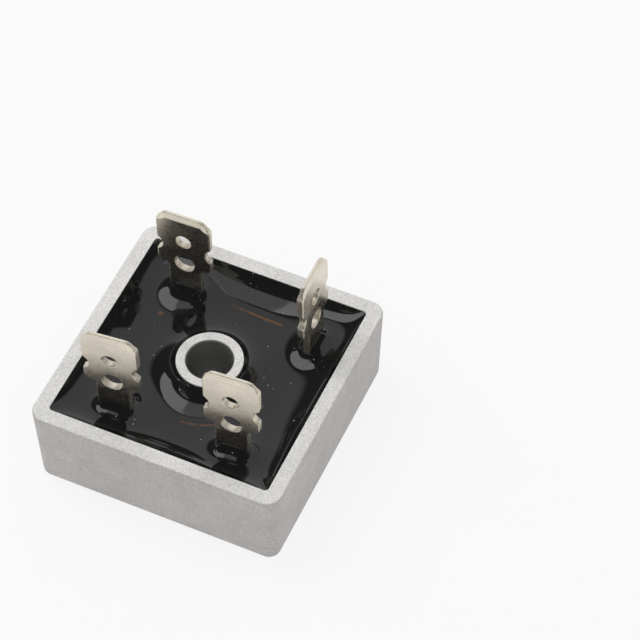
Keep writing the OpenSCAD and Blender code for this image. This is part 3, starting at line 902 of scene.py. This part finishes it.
def softbox(name, middle, size, radiance):
    """Level lamp that faces down: its power is pi times its area times its radiance."""
    data = bpy.data.lights.new(name, "AREA")
    data.shape, data.size, data.size_y = "RECTANGLE", size[0], size[1]
    data.energy = np.pi * size[0] * size[1] * radiance
    lamp = bpy.data.objects.new(name, data)
    lamp.location = middle
    bpy.context.scene.collection.objects.link(lamp)


def studio_world(look):
    """A dim room with a pale backdrop, for the rays that show the background. The backdrop lies beyond a
    slanting line on the floor and between two slanting sides, all softly edged, and near the horizon the
    room is white as the floor is. The other rays find a soft dome, brightest overhead."""
    world = bpy.data.worlds.new("studio")
    tree = Tree(world)
    direction = coordinates(tree, "Generated")
    x, y, z = [direction.part(name) for name in "XYZ"]
    seen = background_seen(tree)
    white_below, room_above = 0.08, 0.2
    slant, lean, back_edge = 0.385, 0.232, 0.05
    spread, turn, side_edge = 1.15, 0.1, 0.15
    horizon = 1 - z.smooth(white_below, room_above)
    beyond = (y + x * slant - z * lean).smooth(0, back_edge)
    between = (y * spread - abs(x + y * turn)).smooth(0, side_edge)
    shown = (beyond * between * (look.backdrop - look.room) + look.room).most(horizon)
    dome = z.most(0) * (look.overhead - look.level) + look.level
    level = seen * shown + (1 - seen) * dome
    background = tree.add("ShaderNodeBackground", None, 0, Color=(1, 1, 1), Strength=level)
    tree.add("ShaderNodeOutputWorld", Surface=background)
    return world


def pale_floor(look):
    """Floor just under the base: dull and pale, with white mixed in for the rays that show it."""
    mesh = bpy.data.meshes.new("floor")
    corners = [(-1, -1), (1, -1), (1, 1), (-1, 1)]
    mesh.from_pydata([(x * FLOOR_HALF, y * FLOOR_HALF, -FLOOR_GAP) for x, y in corners], [], [(0, 1, 2, 3)])
    floor = bpy.data.objects.new("floor", mesh)
    bpy.context.scene.collection.objects.link(floor)
    material, tree = new_material("floor")
    diffuse = tree.add("ShaderNodeBsdfDiffuse", None, 0, Color=look.floor)
    glow = tree.add("ShaderNodeEmission", None, 0, Color=(1, 1, 1), Strength=1.0)
    white = background_seen(tree) * look.white
    mixed = tree.add("ShaderNodeMixShader", None, 0, i0=white, i1=diffuse, i2=glow)
    tree.add("ShaderNodeOutputMaterial", Surface=mixed)
    mesh.materials.append(material)


# ---- operators ----


class RECTIFIER_OT_stage(bpy.types.Operator):
    """Makes the floor, the room, the lamps and the camera"""

    bl_idname = "rectifier.stage"
    bl_label = "Stage"

    def execute(self, context):
        look = context.scene.rectifier_studio
        context.scene.view_settings.view_transform = "Standard"
        place_camera(look)
        context.scene.world = studio_world(look)
        pale_floor(look)
        softbox("key", look.key_place, look.key_size, look.key_level)
        softbox("key_edge", look.edge_place, look.edge_size, look.edge_level)
        return {"FINISHED"}


class RECTIFIER_OT_case(bpy.types.Operator):
    """Finishes the case in blasted aluminium"""

    bl_idname = "rectifier.case"
    bl_label = "Case"

    def execute(self, context):
        set_material("case", blasted_aluminium(context.scene.rectifier_case))
        return {"FINISHED"}


class RECTIFIER_OT_blades(bpy.types.Operator):
    """Makes the four stamped and plated blades"""

    bl_idname = "rectifier.blades"
    bl_label = "Blades"

    def execute(self, context):
        look = context.scene.rectifier_blades
        plated = nickel_plate("nickel_plate", look, look.roughness)
        sheared = nickel_plate("sheared_nickel", look, look.edge_roughness)
        for name in BLADES:
            node = "terminal_" + name
            axes, centre = blade_frame(name)
            points, faces = blade_points(look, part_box(node)[0].z - centre[2])
            blade = new_piece("blade_" + name, points @ axes + centre, faces, plated, [node])
            finish_edges(blade.data, axes[1], sheared)
        return {"FINISHED"}


class RECTIFIER_OT_resin(bpy.types.Operator):
    """Makes the resin's glossy skin with its climbs"""

    bl_idname = "rectifier.resin"
    bl_label = "Resin"

    def execute(self, context):
        look = context.scene.rectifier_resin
        blades = context.scene.rectifier_blades
        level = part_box("locating_board")[1].z + look.over_board
        shank_half = (blades.shank / 2 - look.skirt_short, blades.thickness / 2)
        points = resin_points(look, level, shank_half)
        faces = grid_faces(*points.shape[:2], wrap_rows=True, wrap_columns=True).tolist()
        new_piece("resin", points, faces, black_resin(look), ["potting_resin"])
        return {"FINISHED"}


class RECTIFIER_OT_inner(bpy.types.Operator):
    """Finishes the pieces inside the resin"""

    bl_idname = "rectifier.inner"
    bl_label = "Inner pieces"

    def execute(self, context):
        for slot, (shade, metallic, roughness, nodes) in INNER_FINISHES.items():
            finish = plain_finish(slot, shade, metallic, roughness)
            for node in nodes:
                set_material(node, finish)
        return {"FINISHED"}


class RECTIFIER_PT_panel(bpy.types.Panel):
    """Lists the rectifier's operators"""

    bl_idname = "RECTIFIER_PT_panel"
    bl_label = "Rectifier"
    bl_space_type = "VIEW_3D"
    bl_region_type = "UI"
    bl_category = "Rectifier"

    def draw(self, context):
        for operator in OPERATORS:
            self.layout.operator(operator.bl_idname)


SETTINGS = {
    "rectifier_studio": StudioSettings,
    "rectifier_case": CaseSettings,
    "rectifier_blades": BladeSettings,
    "rectifier_resin": ResinSettings,
}
OPERATORS = (
    RECTIFIER_OT_stage,
    RECTIFIER_OT_case,
    RECTIFIER_OT_blades,
    RECTIFIER_OT_resin,
    RECTIFIER_OT_inner,
)


def register():
    for item in (*SETTINGS.values(), *OPERATORS, RECTIFIER_PT_panel):
        bpy.utils.register_class(item)
    for name, group in SETTINGS.items():
        setattr(bpy.types.Scene, name, PointerProperty(type=group))


def unregister():
    for name in SETTINGS:
        delattr(bpy.types.Scene, name)
    for item in reversed((*SETTINGS.values(), *OPERATORS, RECTIFIER_PT_panel)):
        bpy.utils.unregister_class(item)


def main():
    register()
    for operator in OPERATORS:
        group, name = operator.bl_idname.split(".")
        getattr(getattr(bpy.ops, group), name)()


if __name__ == "__main__":
    main()
